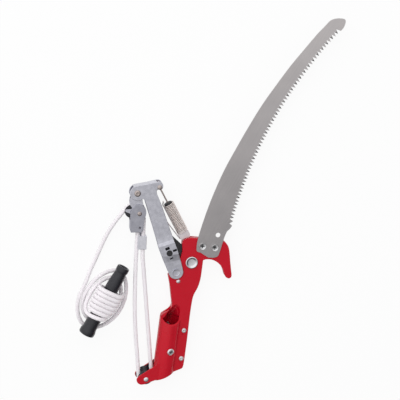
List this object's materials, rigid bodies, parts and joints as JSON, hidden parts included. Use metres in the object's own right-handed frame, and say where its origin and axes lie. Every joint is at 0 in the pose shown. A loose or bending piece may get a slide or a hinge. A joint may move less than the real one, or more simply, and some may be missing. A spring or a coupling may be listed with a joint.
{
  "type": "rope operated tree pruner head with saw",
  "caption": "Tree pruner head for a pole: red hooked jaw and socket, curved pull saw, lever with return spring, and a pulley block with rope wound on a handle.",
  "frame": {"origin": "on the axis of the pole socket, where its bore starts to be closed all round", "axes": "+Y up the pole to the head and saw, +X to the side of the hook, +Z out of the front shell"},
  "size_m": [0.306, 0.5246, 0.0319],
  "materials": {
    "red_paint": "gloss",
    "saw_steel": "satin",
    "black_steel": "satin",
    "zinc": "satin",
    "grey_steel": "matt",
    "bright_steel": "polished",
    "brown_steel": "satin",
    "nickel": "bright",
    "black_plastic": "smooth",
    "white_rope": "woven"
  },
  "bodies": {
    "head": {"front_shell": "red_paint", "rear_shell": "red_paint", "saw_blade": "saw_steel", "saw_screws": "bright_steel", "saw_nuts": "bright_steel", "main_pivot_bolt": "bright_steel", "main_pivot_nut": "bright_steel", "flange_rivets": "bright_steel", "lever_pivot_rivets": "bright_steel", "lever_stop_rivets": "bright_steel", "pole_screw": "bright_steel", "socket_rivet": "bright_steel", "roller_pin": "bright_steel", "anchor_pin": "bright_steel", "rope_roller_turn": "white_rope"},
    "roller": {"rope_roller": "black_plastic"},
    "cutter": {"cutting_blade": "black_steel"},
    "lever": {"lever": "zinc", "drive_pin": "black_steel", "drive_pin_rings": "zinc", "link_rivet": "brown_steel", "spring_pin": "brown_steel"},
    "block": {"link_straps": "zinc", "block_cheeks": "grey_steel", "block_rivets": "brown_steel", "wheel_axle": "bright_steel", "rope_clamp": "zinc", "rope_fixed_end": "white_rope", "rope_fixed_strand": "white_rope", "rope_running_strand": "white_rope", "rope_wheel_turn": "white_rope", "rope_free": "white_rope"},
    "wheel": {"pulley_wheel": "black_plastic"},
    "spring": {"spring": "nickel", "spring_foot": "zinc"},
    "hook": {"spring_hook": "zinc"},
    "handle": {"rope_handle": "black_plastic", "rope_hank": "white_rope"}
  },
  "joints": [
    {"name": "lever_hinge", "type": "hinge", "parent": "head", "child": "lever", "pos_m": [-0.0015, 0.1425, 0], "axis": [0, 0, 1], "range_deg": [0, 100], "stiffness_Nm_per_rad": 0.4, "springref_deg": -20.05, "deforming": ["rope_fixed_strand", "rope_running_strand"]},
    {"name": "blade_pivot", "type": "hinge", "parent": "head", "child": "cutter", "pos_m": [0.018, 0.1575, 0], "axis": [0, 0, 1], "range_deg": [0, 76]},
    {"name": "block_swivel", "type": "hinge", "parent": "lever", "child": "block", "pos_m": [-0.066, 0.245, 0], "axis": [0, 0, 1], "range_deg": [-66.4, 0]},
    {"name": "wheel_spin", "type": "hinge", "parent": "block", "child": "wheel", "pos_m": [-0.0705, 0.2195, 0], "axis": [0, 0, 1], "continuous": true},
    {"name": "roller_spin", "type": "hinge", "parent": "head", "child": "roller", "pos_m": [-0.024, -0.011, 0], "axis": [0, 0, 1], "continuous": true},
    {"name": "spring_swing", "type": "hinge", "parent": "head", "child": "spring", "pos_m": [0.009, 0.186, 0], "axis": [0, 0, 1], "range_deg": [0, 96.7]},
    {"name": "spring_draw", "type": "slide", "parent": "spring", "child": "hook", "axis": [-0.5574, 0.8302, 0], "range_m": [0, 0.0683], "deforming": ["spring"]},
    {"name": "rope_pull", "type": "slide", "parent": "block", "child": "handle", "axis": [-0.8048, -0.5935, 0], "range_m": [0, 0.3215], "deforming": ["rope_free"]}
  ],
  "couplings": [
    {"joint": "blade_pivot", "follows": "lever_hinge", "ratio": 0.76},
    {"joint": "block_swivel", "follows": "lever_hinge", "ratio": -0.6635},
    {"joint": "spring_swing", "follows": "lever_hinge", "ratio": 0.9666},
    {"joint": "spring_draw", "follows": "lever_hinge", "m_per_rad": 0.0391},
    {"joint": "rope_pull", "follows": "lever_hinge", "m_per_rad": 0.184}
  ]
}
